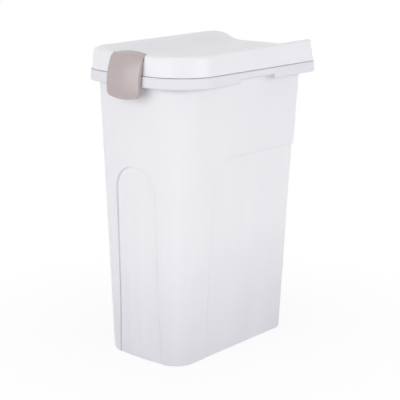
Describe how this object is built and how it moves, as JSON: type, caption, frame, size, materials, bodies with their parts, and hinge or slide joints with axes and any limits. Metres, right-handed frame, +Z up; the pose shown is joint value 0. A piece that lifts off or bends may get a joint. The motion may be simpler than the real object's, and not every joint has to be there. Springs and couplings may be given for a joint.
{
  "type": "pet food storage bin",
  "caption": "Tall tapered bin for dry pet food, with a hinged dished lid, hand grips under its rim and a front latch that hooks under the rim.",
  "frame": {"origin": "middle of the tub's underside, on the surface it stands on, below the middle of the lid", "axes": "+Z up; -Y to the front, where the latch is; +X to the right-hand side of the bin as its user faces along +Y"},
  "size_m": [0.2454, 0.3705, 0.511],
  "materials": {
    "tub_plastic": "milky translucent, fine satin",
    "lid_plastic": "opaque white, satin gloss",
    "latch_plastic": "opaque taupe, satin gloss",
    "pin_steel": "bright drawn wire"
  },
  "bodies": {
    "tub": {"tub": "tub_plastic", "hinge_pin_left": "pin_steel", "hinge_pin_right": "pin_steel"},
    "lid": {"lid": "lid_plastic", "latch_pin": "pin_steel"},
    "latch": {"latch": "latch_plastic"}
  },
  "joints": [
    {"name": "lid_hinge", "type": "hinge", "parent": "tub", "child": "lid", "pos_m": [0, 0.1775, 0.474], "axis": [-1, 0, 0], "range_deg": [0, 110]},
    {"name": "latch_pivot", "type": "hinge", "parent": "lid", "child": "latch", "pos_m": [0, -0.1615, 0.503], "axis": [-1, 0, 0], "range_deg": [0, 110]}
  ]
}
